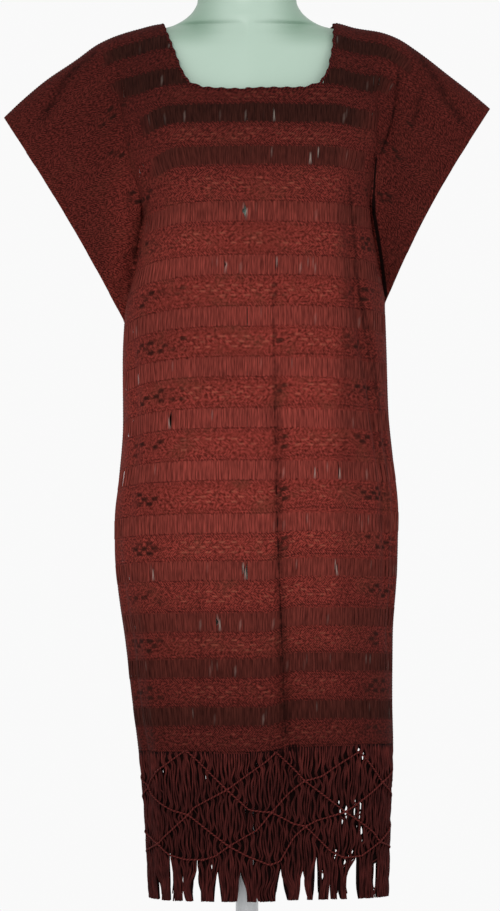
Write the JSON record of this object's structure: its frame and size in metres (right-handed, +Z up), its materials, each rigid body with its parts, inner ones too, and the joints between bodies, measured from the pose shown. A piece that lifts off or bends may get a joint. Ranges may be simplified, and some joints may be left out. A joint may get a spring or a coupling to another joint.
{
  "type": "huipil dress on a limbless dress form with a pole stand",
  "caption": "Handwoven huipil dress with wide cut-in-one sleeves, openwork bands and a knotted warp fringe, worn by a plain armless dress form on a pole and round base.",
  "frame": {"origin": "on the floor under the centre of the object's box, below the middle of the round base", "axes": "+Z up, -Y out of the front of the dress, +X to the right of a viewer who faces the front"},
  "size_m": [0.538, 0.32, 1.45],
  "materials": {
    "red_cloth": "handwoven cotton with openwork bands and brocade floats",
    "edging": "rolled and whipped cotton edge",
    "fringe_warp": "loose twisted warp ends",
    "net_cord": "twisted cotton cord, knotted",
    "form_shell": "smooth satin moulded shell",
    "satin_steel": "satin steel"
  },
  "bodies": {
    "root": {"front_panel": "red_cloth", "back_panel": "red_cloth", "front_edging": "edging", "back_edging": "edging", "front_fringe": "fringe_warp", "back_fringe": "fringe_warp", "front_net": "net_cord", "back_net": "net_cord", "dress_form": "form_shell", "stand_pole": "satin_steel", "stand_collar": "satin_steel", "stand_base": "satin_steel"}
  },
  "joints": []
}
